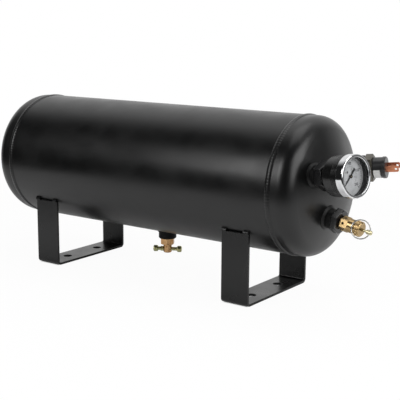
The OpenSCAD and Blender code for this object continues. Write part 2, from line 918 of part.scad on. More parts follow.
// Pressure switch

module switch_bushing() {
    color(black_plastic) at_switch() reducing_bushing(bushing_hex, bushing_hex_len);
}

module switch_base() {
    color(zinc) at_switch() rotate([0, 0, switch_roll]) difference() {
        union() {
            rod(bung_height + 1, bushing_front + 2, branch_thread);
            hex_bar(bushing_front, switch_base_front, switch_hex);
        }
        rod(0, switch_base_front, 3);
        rod(switch_base_front - switch_recess_depth, switch_base_front + cut, switch_recess);
    }
}

module switch_diaphragm() {
    color([0.75, 0.5, 0.2]) at_switch()
        rod(switch_base_front - diaphragm_thickness, switch_base_front, switch_recess);
}

module switch_blade_place(side) {
    translate([side * blade_pitch / 2, 0, 0]) children();
}

module blade_slot(side) {
    switch_blade_place(side) translate([-blade_thickness / 2, -blade_width / 2, switch_cavity_front - cut])
        cube([blade_thickness, blade_width, switch_body_front - switch_cavity_front + 2 * cut]);
}

module switch_body() {
    rim_len = 3.2;
    rim = 0.5;
    color(black_plastic) at_switch() rotate([0, 0, switch_roll]) difference() {
        union() {
            rod(switch_base_front, switch_body_front, switch_body_dia);
            rod(switch_body_front - rim_len, switch_body_front - rim, switch_body_dia + 2 * rim);
        }
        rod(switch_base_front - cut, switch_cavity_front, switch_cavity);
        blade_slot(-1);
        blade_slot(1);
    }
}

// Blade terminal: a contact pad inside, the blade through the body, a hole and a chamfered end outside
module terminal(side, outside) {
    pad_back = contact_front + plunger_travel;
    pad = 0.8;
    blade_end = switch_body_front + outside;
    taper = 1;
    hole_inset = 2.7;
    color(copper) at_switch() rotate([0, 0, switch_roll]) switch_blade_place(side) difference() {
        union() {
            translate([-blade_thickness / 2, -blade_width / 2, pad_back + pad])
                cube([blade_thickness, blade_width, blade_end - taper - pad_back - pad]);
            translate([-blade_thickness / 2, 0, 0]) rotate([90, 0, 90]) linear_extrude(blade_thickness)
                polygon([
                    [-blade_width / 2, blade_end - taper], [blade_width / 2, blade_end - taper],
                    [blade_width / 2 - taper, blade_end], [taper - blade_width / 2, blade_end]
                ]);
            translate([-pad, -contact_width / 2, pad_back]) cube([2 * pad, contact_width, pad]);
        }
        translate([0, 0, blade_end - hole_inset]) rotate([0, 90, 0])
            rod(-blade_thickness, blade_thickness, blade_hole);
    }
}

module switch_terminal_long() { terminal(1, blade_length); }

module switch_terminal_short() { terminal(-1, blade_length - 0.1); }

module switch_plunger() {
    color([0.85, 0.84, 0.8]) at_switch() rotate([0, 0, switch_roll]) {
        rod(switch_base_front + running_gap, switch_base_front + plunger_len, plunger_dia);
        translate([0, 0, switch_base_front])
            rod(plunger_len - plunger_flange_len, plunger_len, plunger_flange);
    }
}

// Bridge that joins the two pads when the plunger is pushed out
module switch_contact() {
    bridge = blade_pitch + 2.4;
    color(copper) at_switch() rotate([0, 0, switch_roll])
        translate([-bridge / 2, -contact_width / 2, switch_base_front + plunger_len])
            cube([bridge, contact_width, contact_thickness]);
}

module switch_spring() {
    color(steel) at_switch() translate([0, 0, contact_front])
        coil(switch_spring_r, switch_spring_wire, 3, switch_cavity_front - contact_front);
}

// Drain cock

module drain_body() {
    color(brass) on_drain() difference() {
        union() {
            rod(0, drain_hex_front - 2, port_thread);
            hex_bar(bung_height, drain_hex_front, drain_hex);
            rod(drain_hex_front, drain_neck_front, drain_neck_dia);
        }
        rod(-cut, drain_seat_at + cut, drain_passage);
        rod(drain_seat_at, drain_neck_front + cut, drain_thread + 2 * running_gap);
    }
}

module drain_seal() {
    color(rubber) on_drain() rod(drain_seat_at, drain_seat_at + drain_seal_len, drain_seal_dia);
}

// Screwed stem: water passes its throat, goes down its middle and leaves above the T-handle's hole
module drain_stem() {
    edge = 0.8;
    head_front = drain_head_back + drain_head_len;
    throat_back = drain_seat_at + drain_seal_len;
    throat_hole = throat_back + drain_throat_len / 2;
    outlet_at = drain_head_back + drain_outlet / 2 + touch_gap;
    color(brass) on_drain() rotate([0, 0, -drain_bar_angle]) difference() {
        union() {
            rod(throat_back, drain_head_back + cut, drain_throat_dia);
            rod(throat_back + drain_throat_len, drain_head_back + cut, drain_thread);
            rod(drain_head_back, head_front - edge, drain_neck_dia);
            translate([0, 0, head_front - edge])
                cylinder(h = edge, d1 = drain_neck_dia, d2 = drain_neck_dia - 2 * edge);
        }
        translate([0, 0, drain_bar_at]) rotate([0, 90, 0])
            rod(-drain_neck_dia, drain_neck_dia, drain_bar_dia);
        rod(throat_hole, outlet_at, drain_outlet);
        translate([0, 0, throat_hole]) rotate([90, 0, 0]) rod(-drain_thread, drain_thread, drain_outlet);
        translate([0, 0, outlet_at]) rotate([90, 0, 0]) rod(-drain_neck_dia, drain_neck_dia, drain_outlet);
    }
}

// Bar with a round end each side and a collar against the stem
module drain_handle() {
    half = drain_bar_len / 2;
    knob_len = 5;
    collar_len = 3;
    round = 1.2;
    color(yellow_zinc) on_drain() rotate([0, 0, -drain_bar_angle]) translate([0, 0, drain_bar_at])
        rotate([0, 90, 0]) {
            rod(-half + knob_len / 2, half - knob_len / 2, drain_bar_dia);
            for (end = [-1, 1]) translate([0, 0, end * (half - knob_len / 2)]) rotate_extrude() union() {
                translate([0, -knob_len / 2]) square([drain_knob_dia / 2 - round, knob_len]);
                translate([0, -knob_len / 2 + round]) square([drain_knob_dia / 2, knob_len - 2 * round]);
                for (z = [-1, 1]) translate([drain_knob_dia / 2 - round, z * (knob_len / 2 - round)])
                    circle(round);
            }
            rod(-drain_neck_dia / 2 - collar_len, -drain_neck_dia / 2, drain_bar_dia + 1.4);
        }
}

tank_shell();
head_left();
head_right();
seam_weld_left();
seam_weld_right();
foot_left();
foot_right();
foot_welds_left();
foot_welds_right();
gauge_bung();
valve_bung();
switch_bung();
drain_bung();
inlet_bung();
outlet_bung();
bung_welds_right();
bung_welds_left();
drain_bung_weld();
gauge_bushing();
gauge_socket();
gauge_case();
gauge_bezel();
gauge_glass();
gauge_gasket();
gauge_dial();
dial_screws();
gauge_pointer();
gauge_pinion();
gauge_sector();
gauge_link();
gauge_movement_frame();
bourdon_tube();
valve_bushing();
valve_body();
valve_seat_disc();
valve_stem();
valve_spring();
valve_cap();
valve_ring();
switch_bushing();
switch_base();
switch_body();
switch_diaphragm();
switch_plunger();
switch_contact();
switch_spring();
switch_terminal_long();
switch_terminal_short();
drain_body();
drain_seal();
drain_stem();
drain_handle();
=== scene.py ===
"""Compressed air tank: finishes, dial print, label, port threads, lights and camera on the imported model."""
import json
import math

import bmesh
import bpy
from mathutils import Matrix, Vector

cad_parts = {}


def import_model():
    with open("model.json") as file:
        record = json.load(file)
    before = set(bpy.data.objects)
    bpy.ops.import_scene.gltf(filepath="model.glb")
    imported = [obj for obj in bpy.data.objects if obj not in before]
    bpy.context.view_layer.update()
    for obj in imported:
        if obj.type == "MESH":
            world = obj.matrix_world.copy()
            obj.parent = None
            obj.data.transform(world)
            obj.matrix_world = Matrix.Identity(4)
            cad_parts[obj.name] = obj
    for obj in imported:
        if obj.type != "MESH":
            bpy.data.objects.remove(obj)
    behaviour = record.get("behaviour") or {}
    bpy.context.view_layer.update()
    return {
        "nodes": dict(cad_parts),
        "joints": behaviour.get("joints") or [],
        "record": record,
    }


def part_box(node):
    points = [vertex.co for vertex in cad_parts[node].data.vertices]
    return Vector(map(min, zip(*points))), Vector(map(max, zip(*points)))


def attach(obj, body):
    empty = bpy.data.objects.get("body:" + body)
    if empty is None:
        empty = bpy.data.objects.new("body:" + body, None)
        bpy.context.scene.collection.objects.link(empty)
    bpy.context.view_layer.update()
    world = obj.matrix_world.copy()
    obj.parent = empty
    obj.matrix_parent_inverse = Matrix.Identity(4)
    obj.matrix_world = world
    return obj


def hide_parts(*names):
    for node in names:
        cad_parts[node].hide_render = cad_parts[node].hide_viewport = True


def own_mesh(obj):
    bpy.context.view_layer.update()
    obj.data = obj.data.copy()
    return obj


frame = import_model()
nodes = frame["nodes"]
joints = {j["name"]: j for j in frame["joints"]}
mounts = {m["name"]: m for m in frame["record"]["mounts"]}

MM = 0.001
JOIN = 1e-6  # vertices of an added piece that are closer than this become one


# Places


def port(axis, origin):
    """Matrix of a port on a head: z outward, y up, x to the right of someone facing it."""
    out = Vector(axis).normalized()
    turn = Vector((1, 0, 0) if out.x > 0 else (-1, 0, 0)).rotation_difference(out).to_matrix()
    side = turn @ Vector((0, 1 if out.x > 0 else -1, 0))
    up = turn @ Vector((0, 0, 1))
    m = Matrix((side, up, out)).transposed().to_4x4()
    m.translation = Vector(origin)
    return m


def middle(node):
    low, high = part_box(node)
    return (low + high) / 2


def mean_point(node):
    verts = nodes[node].data.vertices
    return sum((v.co for v in verts), Vector()) / len(verts)


def station(node, place, end=max):
    """Furthest (or nearest) reach of a node along a port's axis, from the port's origin."""
    out = place.to_3x3().col[2]
    return end((v.co - place.translation).dot(out) for v in nodes[node].data.vertices)


def polar(radius, degrees):
    return radius * math.cos(math.radians(degrees)), radius * math.sin(math.radians(degrees))


pointer = joints["gauge_pointer_turn"]
GAUGE = port([-c for c in pointer["axis"]], pointer["pos_m"])
VALVE = port(joints["valve_lift"]["axis"], joints["valve_ring_swing"]["pos_m"])
SWITCH = port(joints["switch_plunger_slide"]["axis"], mean_point("switch_diaphragm"))
DRAIN = Matrix.Translation(Vector(joints["drain_screw_turn"]["pos_m"]))
TANK_AXIS = middle("tank_shell")


# Shader nodes


def add_node(tree, kind, inputs=None, **settings):
    """A node with its settings, and with its inputs set to values or joined to sockets."""
    node = tree.nodes.new(kind)
    for key, value in settings.items():
        setattr(node, key, value)
    for key, value in (inputs or {}).items():
        if isinstance(value, bpy.types.NodeSocket):
            tree.links.new(value, node.inputs[key])
        else:
            node.inputs[key].default_value = value
    return node


def ramp(tree, value, low, high, start=0.0, end=1.0, shape="LINEAR"):
    """Goes from start to end as the value goes from low to high."""
    ends = {"From Min": low, "From Max": high, "To Min": start, "To Max": end}
    return add_node(tree, "ShaderNodeMapRange", {"Value": value, **ends}, interpolation_type=shape).outputs[0]


def calc(tree, operation, a, b=0.0):
    """Result of a math node on numbers or sockets."""
    return add_node(tree, "ShaderNodeMath", {0: a, 1: b}, operation=operation).outputs[0]


def rgba(value):
    """A plain colour with its alpha. A socket stays what it is."""
    return (*value, 1.0) if isinstance(value, tuple) else value


class Shader:
    """A material with one Principled shader, and short ways to add nodes to it."""

    def __init__(self, name, roughness, metallic=0.0, specular=0.5):
        self.mat = bpy.data.materials.new(name)
        self.mat.use_nodes = True
        self.tree = self.mat.node_tree
        self.bsdf = self.tree.nodes["Principled BSDF"]
        self.bsdf.inputs["Roughness"].default_value = roughness
        self.bsdf.inputs["Metallic"].default_value = metallic
        self.bsdf.inputs["Specular IOR Level"].default_value = specular
        self.roughness = roughness
        self.where = self.add("ShaderNodeTexCoord").outputs["Object"]

    def add(self, kind, inputs=None, **settings):
        return add_node(self.tree, kind, inputs, **settings)

    def join(self, source, target):
        self.tree.links.new(source, target)

    def surface(self, shader):
        """What the material shows, in place of the bare Principled shader."""
        self.join(shader, self.tree.nodes["Material Output"].inputs["Surface"])

    def math(self, operation, a, b=0.0):
        return calc(self.tree, operation, a, b)

    def vector(self, operation, a, b=(0.0, 0.0, 0.0)):
        """A number for a dot product or a length, and otherwise a vector."""
        node = self.add("ShaderNodeVectorMath", {0: a, 1: b}, operation=operation)
        return node.outputs["Value" if operation in ("DOT_PRODUCT", "LENGTH") else "Vector"]

    def noise(self, size_mm, where=None, detail=3.0, rough=0.5):
        """Soft random pattern whose patches are about that size."""
        inputs = {"Vector": where or self.where, "Scale": 1000.0 / size_mm, "Detail": detail, "Roughness": rough}
        return self.add("ShaderNodeTexNoise", inputs).outputs["Fac"]

    def spread(self, value, low, high, start=0.0, end=1.0):
        return ramp(self.tree, value, low, high, start, end)

    def mix(self, factor, a, b):
        inputs = {"Factor": factor, 6: rgba(a), 7: rgba(b)}
        return self.add("ShaderNodeMix", inputs, data_type="RGBA").outputs[2]

    def lathe(self, place, size_mm):
        """Noise that only changes along and away from a port's axis, as the marks of a lathe do."""
        out = place.to_3x3().col[2]
        off = self.vector("SUBTRACT", self.where, place.translation)
        along = self.vector("DOT_PRODUCT", off, out)
        radius = self.vector("LENGTH", self.vector("CROSS_PRODUCT", off, out))
        both = self.add("ShaderNodeCombineXYZ", {0: along, 1: radius})
        return self.noise(size_mm, both.outputs[0], detail=2.0)

    def color(self, value):
        self.join(value, self.bsdf.inputs["Base Color"])

    def rough_from(self, value, change):
        """Roughness that follows a noise, by up to change each way."""
        self.join(self.spread(value, 0.3, 0.7, self.roughness - change, self.roughness + change),
                  self.bsdf.inputs["Roughness"])

    def rounded(self, round_mm, samples):
        """Normal of a surface whose edges look rounded."""
        return self.add("ShaderNodeBevel", {"Radius": round_mm * MM}, samples=samples).outputs[0]

    def relief(self, height, depth_mm, round_mm=0.0, normal=None):
        """Bump of that depth, on edges that look rounded by round_mm, or on a given normal."""
        inputs = {"Distance": depth_mm * MM, "Height": height}
        if normal:
            inputs["Normal"] = normal
        elif round_mm:
            inputs["Normal"] = self.rounded(round_mm, 8)
        self.join(self.add("ShaderNodeBump", inputs).outputs[0], self.bsdf.inputs["Normal"])

    def edges(self, size_mm):
        """1 on sharp edges, where a finish wears or catches light, and 0 elsewhere."""
        plain = self.add("ShaderNodeNewGeometry").outputs["Normal"]
        agreement = self.vector("DOT_PRODUCT", self.rounded(size_mm, 6), plain)
        return self.spread(agreement, *EDGE_COSINES)


# Materials

EDGE_COSINES = (0.995, 0.93)  # of plain and rounded normal, where an edge begins and where it is full
POLE_CIRCLE = (0.0046, 0.0062)  # radii round a pole over which the faces' own direction fades out
PATCH_MM, DUST_MM, WEAR_AND_GLINT_MM, WEAR_AND_GLINT_EDGE_MM = 28.0, 2.1, 3.0, 0.3  # sizes of what varies in a paint
TONES = (0.35, 0.65)  # values of a noise over which one tone turns into the other
DUST_PEAKS, WEAR_AND_GLINT_PEAKS = (0.70, 0.78), (0.45, 0.6)  # values of a noise at which these begin and are full
DUST, WEAR_AND_GLINT = 0.35, 0.8  # share of each that shows where it is full; the lighter edges are wear, and on the oxide partly painted highlight
RIPPLES, RIPPLE_MM = 150.0, 0.1  # a weld's ripples to a full turn of the tank, and their depth


def steady_poles(s):
    """Normal that takes the faces' own direction at the heads' poles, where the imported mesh's is off."""
    plain = s.add("ShaderNodeNewGeometry").outputs
    off = s.vector("SUBTRACT", s.where, TANK_AXIS)
    radius = s.vector("LENGTH", s.vector("MULTIPLY", off, (0.0, 1.0, 1.0)))
    share = s.spread(radius, *POLE_CIRCLE, 1.0, 0.0)
    inputs = {"Factor": share, 4: plain["Normal"], 5: plain["True Normal"]}
    return s.add("ShaderNodeMix", inputs, data_type="VECTOR").outputs[1]


def painted(name, dark, light, roughness, grain_mm=0.9, depth_mm=0.012, wear_and_glint=None, round_mm=0.35,
            ripple=None, specular=0.5, normal=None):
    """Sprayed black finish: fine orange peel, faint patches of gloss, sparse dust, and lighter edges: worn
    paint, and on the oxide partly a painted highlight.
    """
    s = Shader(name, roughness, specular=specular)
    patches = s.noise(PATCH_MM, detail=4.0)
    grain = s.noise(grain_mm, detail=2.0)
    body = s.mix(s.spread(patches, *TONES), dark, light)
    specks = s.spread(s.noise(DUST_MM, detail=6.0, rough=0.7), *DUST_PEAKS)
    body = s.mix(s.math("MULTIPLY", specks, DUST), body, tuple(3.0 * c for c in light))
    if wear_and_glint:
        wear_and_glint_spots = s.spread(s.noise(WEAR_AND_GLINT_MM, detail=5.0), *WEAR_AND_GLINT_PEAKS)
        wear_and_glint_mask = s.math("MULTIPLY", s.edges(WEAR_AND_GLINT_EDGE_MM), wear_and_glint_spots)
        body = s.mix(s.math("MULTIPLY", wear_and_glint_mask, WEAR_AND_GLINT), body, wear_and_glint)
    s.color(body)
    s.rough_from(patches, 0.05)
    height = grain
    if ripple:
        height = s.math("ADD", s.math("MULTIPLY", grain, 0.3), ripple(s))
        depth_mm = RIPPLE_MM
    s.relief(height, depth_mm, round_mm, normal(s) if normal else None)
    return s.mat


def weld_ripple(s):
    """Low ripples one after another round the tank, as a welding torch leaves them."""
    away = s.add("ShaderNodeSeparateXYZ", {0: s.where}).outputs
    turn = s.math("ARCTAN2", away[1], s.math("SUBTRACT", away[2], TANK_AXIS.z))
    lag = s.math("MULTIPLY", s.noise(7, detail=2.0), 3.0)
    wave = s.math("SINE", s.math("ADD", s.math("MULTIPLY", turn, RIPPLES), lag))
    return s.spread(wave, -1, 1)


def spun_grooves(s):
    """Shallow grooves round the gauge's case, as spinning the sheet leaves them."""
    return s.lathe(GAUGE, 1.6)


def metal(name, dark, light, roughness, place=None, mark_mm=0.12, depth_mm=0.004, stain=None, round_mm=0.2):
    """Bare or plated metal: lathe or draw marks, soft stains and rounded edges."""
    s = Shader(name, roughness, metallic=1.0)
    tone = s.mix(s.spread(s.noise(5.0, detail=4.0), *TONES), dark, light)
    if stain:
        tone = s.mix(s.spread(s.noise(4.5, detail=3.0), 0.5, 0.8, 0.0, 0.5), tone, stain)
    s.color(tone)
    marks = s.lathe(place, mark_mm) if place else s.noise(0.6, detail=3.0)
    s.rough_from(marks, min(0.06, roughness * 0.4))
    s.relief(marks, depth_mm, round_mm)
    return s.mat


def moulded(name, dark, light, roughness, grain_mm=0.35, depth_mm=0.01, round_mm=0.25):
    """Moulded plastic or rubber, or a flat print, with a fine even grain."""
    s = Shader(name, roughness)
    s.color(s.mix(s.spread(s.noise(9.0, detail=3.0), 0.4, 0.6), dark, light))
    grain = s.noise(grain_mm, detail=2.0)
    s.rough_from(grain, 0.04)
    s.relief(grain, depth_mm, round_mm)
    return s.mat


def window(name):
    """Flat glass: clear, with a reflection that grows towards grazing angles."""
    s = Shader(name, 0.03, metallic=1.0)
    s.color(s.mix(s.spread(s.noise(6.0, detail=4.0), 0.4, 0.7), (0.93, 0.95, 0.96), (0.88, 0.91, 0.93)))
    clear = s.add("ShaderNodeBsdfTransparent", {"Color": (0.97, 0.975, 0.975, 1.0)})
    fresnel = s.add("ShaderNodeFresnel", {"IOR": 1.45})
    front = s.math("SUBTRACT", 1.0, s.add("ShaderNodeNewGeometry").outputs["Backfacing"])
    mirrored = s.math("MULTIPLY", fresnel.outputs[0], front)
    s.surface(s.add("ShaderNodeMixShader", {0: mirrored, 1: clear.outputs[0], 2: s.bsdf.outputs[0]}).outputs[0])
    return s.mat


BLACK = (0.0018, 0.0019, 0.0020), (0.0028, 0.0029, 0.0030)
paint = painted("black_paint", *BLACK, 0.33, normal=steady_poles)
weld_paint = painted("black_paint_welds", *BLACK, 0.34, ripple=weld_ripple, round_mm=0.0)
foot_paint = painted("black_paint_feet", *BLACK, 0.3, grain_mm=0.7, wear_and_glint=(0.05, 0.05, 0.05), specular=0.44)
port_paint = painted("black_paint_ports", *BLACK, 0.5, grain_mm=0.7, round_mm=0.8, specular=0.3)
bung_paint = painted("black_paint_drain", *BLACK, 0.6, grain_mm=0.7, specular=0.2)
# Its light grey edges are partly worn metal and partly a painted highlight, where the hexagons' chamfers would
# catch light.
oxide = painted("black_oxide", (0.004, 0.004, 0.0045), (0.007, 0.007, 0.0075), 0.22, grain_mm=0.5,
                depth_mm=0.01, wear_and_glint=(0.3, 0.3, 0.3), round_mm=1.5)
enamel = painted("black_enamel", (0.003, 0.003, 0.003), (0.005, 0.005, 0.005), 0.26, round_mm=0.2,
                 ripple=spun_grooves)
chrome = metal("chrome", (0.66, 0.67, 0.68), (0.75, 0.75, 0.76), 0.09, GAUGE, depth_mm=0.0008, round_mm=0.5)
brass_valve = metal("brass_turned", (0.36, 0.25, 0.115), (0.46, 0.33, 0.17), 0.26, VALVE,
                    stain=(0.29, 0.18, 0.075))
brass_drain = metal("brass_drain", (0.52, 0.29, 0.13), (0.64, 0.40, 0.20), 0.2, DRAIN,
                    stain=(0.36, 0.2, 0.09))
pale_brass = metal("pale_brass", (0.48, 0.43, 0.26), (0.6, 0.55, 0.36), 0.26, VALVE)
brass_inner = metal("brass_works", (0.6, 0.43, 0.2), (0.72, 0.54, 0.27), 0.3, GAUGE)
yellow_zinc = metal("yellow_zinc", (0.40, 0.42, 0.20), (0.62, 0.58, 0.30), 0.28, stain=(0.33, 0.45, 0.30))
zinc = metal("zinc_plate", (0.085, 0.08, 0.065), (0.14, 0.13, 0.11), 0.36, SWITCH, mark_mm=0.2,
             stain=(0.07, 0.055, 0.045))
steel = metal("steel_wire", (0.5, 0.5, 0.5), (0.66, 0.66, 0.65), 0.24, VALVE)
thread_steel = metal("thread_steel", (0.16, 0.16, 0.16), (0.26, 0.26, 0.25), 0.36)
copper = metal("copper_blade", (0.42, 0.16, 0.09), (0.62, 0.26, 0.15), 0.38, stain=(0.3, 0.11, 0.07))
glass = window("gauge_glass")
plastic = moulded("black_plastic", (0.014, 0.014, 0.015), (0.02, 0.02, 0.021), 0.3)
white_plastic = moulded("white_plastic", (0.62, 0.61, 0.56), (0.7, 0.69, 0.64), 0.45)
rubber = moulded("rubber", (0.012, 0.012, 0.012), (0.02, 0.02, 0.019), 0.65)
amber = moulded("diaphragm_film", (0.45, 0.22, 0.04), (0.55, 0.29, 0.06), 0.35)
needle_paint = moulded("needle_black", (0.008, 0.008, 0.008), (0.012, 0.012, 0.012), 0.4)
dial_paint = moulded("dial_face", (0.5, 0.5, 0.51), (0.57, 0.57, 0.58), 0.5, grain_mm=0.8, depth_mm=0.004,
                     round_mm=0.0)
print_ink = moulded("dial_ink", (0.02, 0.02, 0.022), (0.035, 0.035, 0.037), 0.6, depth_mm=0.002, round_mm=0.0)
print_grey = moulded("dial_ink_grey", (0.07, 0.07, 0.075), (0.1, 0.1, 0.11), 0.6, depth_mm=0.002,
                     round_mm=0.0)
label_white = moulded("label_film", (0.6, 0.6, 0.59), (0.68, 0.68, 0.67), 0.4, grain_mm=0.5, depth_mm=0.004,
                      round_mm=0.0)

FINISH = {
    paint: ["tank_shell", "head_left", "head_right"],
    port_paint: ["gauge_bung", "valve_bung", "switch_bung", "inlet_bung", "outlet_bung", "bung_welds_right",
                 "bung_welds_left"],
    bung_paint: ["drain_bung", "drain_bung_weld"],
    weld_paint: ["seam_weld_left", "seam_weld_right", "foot_welds_left", "foot_welds_right"],
    foot_paint: ["foot_left", "foot_right"],
    oxide: ["gauge_bushing", "valve_bushing", "switch_bushing"],
    enamel: ["gauge_case"],
    chrome: ["gauge_bezel"],
    glass: ["gauge_glass"],
    rubber: ["gauge_gasket", "valve_seat_disc", "drain_seal"],
    dial_paint: ["gauge_dial"],
    needle_paint: ["gauge_pointer"],
    brass_inner: ["gauge_socket", "gauge_pinion", "gauge_sector", "gauge_link", "gauge_movement_frame",
                  "bourdon_tube"],
    brass_valve: ["valve_body", "valve_cap"],
    brass_drain: ["drain_body", "drain_stem"],
    yellow_zinc: ["drain_handle"],
    steel: ["dial_screws", "valve_spring", "valve_ring", "switch_spring"],
    pale_brass: ["valve_stem"],
    zinc: ["switch_base"],
    plastic: ["switch_body"],
    amber: ["switch_diaphragm"],
    white_plastic: ["switch_plunger"],
    copper: ["switch_contact", "switch_terminal_long", "switch_terminal_short"],
}
for finish, names in FINISH.items():
    for name in names:
        mesh = nodes[name].data
        mesh.materials.clear()
        mesh.materials.append(finish)
missing = set(nodes) - {name for names in FINISH.values() for name in names}
if missing:
    raise ValueError(f"no finish for {sorted(missing)}")


# Pieces that the CAD leaves to this script. Their sizes are in mm


def vert(bm, place, x, y, z):
    return bm.verts.new(place @ (Vector((x, y, z)) * MM))


def skin(bm, rings):
    """Walls between rings of equally many vertices, and a cap at each end. piece() turns them outwards."""
    for p, q in zip(rings, rings[1:]):
        for i in range(len(p)):
            k = (i + 1) % len(p)
            bm.faces.new((p[i], p[k], q[k], q[i]))
    bm.faces.new(rings[0])
    bm.faces.new(list(reversed(rings[-1])))


def piece(name, bm, finish, body, smooth=False):
    """A mesh object from a bmesh that is already in place."""
    mesh = bpy.data.meshes.new(name)
    bmesh.ops.remove_doubles(bm, verts=bm.verts, dist=JOIN)
    bmesh.ops.recalc_face_normals(bm, faces=bm.faces)
    bm.to_mesh(mesh)
    bm.free()
    for polygon in mesh.polygons:
        polygon.use_smooth = smooth
    mesh.materials.append(finish)
    obj = bpy.data.objects.new(name, mesh)
    bpy.context.scene.collection.objects.link(obj)
    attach(obj, body)
    return obj


INK_LOW, INK_HIGH = 0.01, 0.05  # heights above the dial between which its print lies
ZERO, SWEEP = 225.0, 270.0  # degrees: where the scales start, and how far they reach
FULL_PSI, FULL_BAR = 200, 13.79
OUTER_ARC, INNER_ARC = 16.2, 8.6
MARKS = ((50, 13.7, 0.6), (10, 14.6, 0.36), (5, 15.2, 0.22))  # one every so many psi, inner radius, width


def dial_angle(reading, full=FULL_PSI):
    return ZERO - SWEEP * reading / full


def bar(bm, start, end, width):
    """A flat printed bar between two points of the dial."""
    start, end = Vector(start), Vector(end)
    side = (end - start).normalized().orthogonal() * width / 2
    corners = [start + side, end + side, end - side, start - side]
    skin(bm, [[vert(bm, GAUGE, p.x, p.y, z) for p in corners] for z in (INK_LOW, INK_HIGH)])


def arc(bm, radius, width, steps):
    """A thin line over a scale's whole sweep, of short bars that overlap a little."""
    for i in range(steps):
        bar(bm, polar(radius, dial_angle(i, steps)), polar(radius, dial_angle(i + 1.02, steps)), width)


def outer_scale():
    """A long mark at each number, a middle one at each ten, short ones between, and an arc."""
    bm = bmesh.new()
    for reading in range(0, FULL_PSI + 1, MARKS[-1][0]):
        inner, width = next((r, w) for every, r, w in MARKS if reading % every == 0)
        a = dial_angle(reading)
        bar(bm, polar(inner, a), polar(OUTER_ARC, a), width)
    arc(bm, OUTER_ARC, 0.16, 90)
    piece("dial_scale", bm, print_ink, "tank")


def inner_scale():
    """Inner scale in bar: a thin arc with short marks, every second one longer."""
    bm = bmesh.new()
    arc(bm, INNER_ARC, 0.14, 80)
    for i in range(int(FULL_BAR) + 1):
        a = dial_angle(i, FULL_BAR)
        bar(bm, polar(INNER_ARC, a), polar(9.5 if i % 2 else 9.9, a), 0.18)
    piece("dial_inner_scale", bm, print_grey, "tank")


def numerals(name, readings, radius, size, finish):
    """Numbers of a scale, upright on the dial. readings pairs each text with its angle."""
    bm = bmesh.new()
    for text, angle in readings:
        curve = bpy.data.curves.new(name, "FONT")
        curve.body = text
        curve.size = size
        curve.align_x = "CENTER"
        curve.align_y = "CENTER"
        curve.extrude = (INK_HIGH - INK_LOW) / 2
        curve.offset = size * 0.02
        curve.resolution_u = 4
        obj = bpy.data.objects.new(name, curve)
        mesh = bpy.data.meshes.new_from_object(obj)
        x, y = polar(radius, angle)
        mesh.transform(GAUGE @ Matrix.Scale(MM, 4) @ Matrix.Translation((x, y, (INK_LOW + INK_HIGH) / 2)))
        bm.from_mesh(mesh)
        bpy.data.meshes.remove(mesh)
        bpy.data.objects.remove(obj)
        bpy.data.curves.remove(curve)
    piece(name, bm, finish, "tank")


def label():
    """Bare label with rounded corners, stuck round the side of the switch's body."""
    base = station("switch_base", SWITCH) / MM
    low, high = base + 0.9, base + 7.6
    body_radius, gap, thick = 20.6 / 2, 0.005, 0.07
    start, end, steps = 188.0, 254.0, 28
    corner = {0: 0.5, 1: 0.12, steps - 1: 0.12, steps: 0.5}
    bm = bmesh.new()
    rings = []
    for i in range(steps + 1):
        angle = start + (end - start) * i / steps
        below, above = low + corner.get(i, 0.0), high - corner.get(i, 0.0)
        inside, outside = polar(body_radius + gap, angle), polar(body_radius + thick, angle)
        loop = ((inside, below), (inside, above), (outside, above), (outside, below))
        rings.append([vert(bm, SWITCH, *point, z) for point, z in loop])
    skin(bm, rings)
    piece("switch_label", bm, label_white, "tank")


def port_thread(name, bung, place):
    """Female pipe thread of 18 turns to the inch: a low helical ridge that stands in from the bore."""
    bore, depth, pitch, length = 12.5 / 2, 0.45, 1.41, 13.0
    root, hidden_crest = bore + 0.08, bore + 0.04  # in the bung's wall
    root_half, crest_half = 0.48, 0.09  # widths, in pitches
    mouth = station(bung, place) / MM - 0.6
    per_turn, turns = 40, int((length - 1.0) / pitch)
    bm = bmesh.new()
    rings = []
    for i in range(turns * per_turn + 1):
        z = mouth - i / per_turn * pitch
        fade = min(1.0, i / per_turn, turns - i / per_turn)
        crest = hidden_crest - depth * fade
        loop = ((root, -root_half), (crest, -crest_half), (crest, crest_half), (root, root_half))
        rings.append([vert(bm, place, *polar(r, 360.0 * i / per_turn), z + dz * pitch) for r, dz in loop])
    skin(bm, rings)
    piece(name, bm, thread_steel, "tank", smooth=True)


def coil(name, node, place):
    """Spring as a piece of its own, a copy of the node's mesh; the node is hidden."""
    bm = bmesh.new()
    bm.from_mesh(nodes[node].data)
    obj = piece(name, bm, steel, "tank", smooth=True)
    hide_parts(node)
    near, far = station(node, place, min), station(node, place)
    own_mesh(obj)


outer_scale()
inner_scale()
numerals("dial_numbers", [(str(r), dial_angle(r)) for r in range(0, FULL_PSI + 1, 50)], 11.5, 3.5, print_ink)
numerals("dial_inner_numbers", [(str(r), dial_angle(r, FULL_BAR)) for r in (0, 4, 8, 12)], 6.7, 2.0,
         print_grey)
label()
for name in ("inlet", "outlet"):
    at = mounts[name + "_port"]
    port_thread(name + "_port_thread", name + "_bung", port(at["axis"], at["pos_m"]))
coil("valve_spring_coil", "valve_spring", VALVE)
coil("switch_spring_coil", "switch_spring", SWITCH)


# Stage

WHITE = (1.0, 1.0, 1.0, 1.0)
FLOOR_TONE = (0.9, 0.9, 0.9, 1.0)
FLOOR_PLACE, FLOOR_HALVES = (0.0, 0.14, 0.0), (0.78, 0.54, 1.0)
FLOOR_POINTS = 64
FLOOR_SEEN = (0.6, 0.95, 0.95, 1.0)  # over these shares of its radius, the share of white that is seen
FLOOR_GLOSS = 0.05  # the same share for gloss
FOOT_FADE = 0.003  # the shadow under a foot's plate fades out over this width
STUDIO_DEPTH = (-0.24, 0.3, 0.015, 0.96)  # over these y of a direction, how bright gloss sees the studio
STUDIO_SIDE = (0.2, 0.55, 1.0, 0.2)  # over these x, what of it stays


